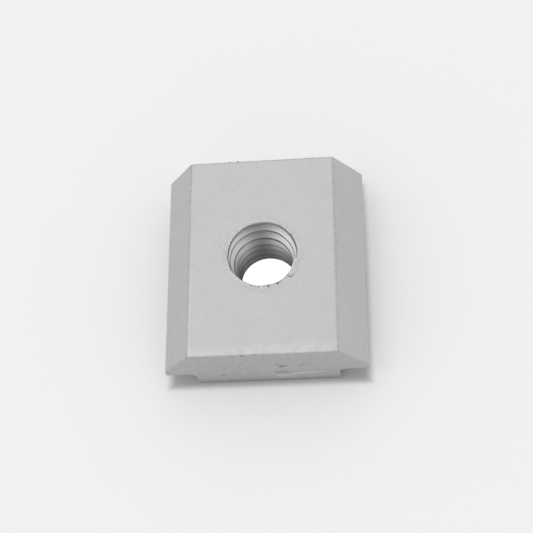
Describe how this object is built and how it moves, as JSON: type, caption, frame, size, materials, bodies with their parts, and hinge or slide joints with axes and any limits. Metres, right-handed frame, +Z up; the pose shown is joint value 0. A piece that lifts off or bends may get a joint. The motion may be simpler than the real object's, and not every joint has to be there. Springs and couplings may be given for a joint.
{
  "type": "t slot nut",
  "caption": "Square slide-in slot nut with chamfered head, narrow tongue and a central tapped through hole, for clamping to a T-shaped channel.",
  "frame": {"origin": "centre of the tongue's face, on the surface that the nut stands on", "axes": "+X across the wings, +Y along the channel, +Z up from the tongue's face to the chamfered flat"},
  "size_m": [0.024, 0.025, 0.009],
  "materials": {
    "nut_metal": "satin, fine mottled grain, sawn ends"
  },
  "bodies": {
    "root": {"slot_nut": "nut_metal"}
  },
  "joints": []
}
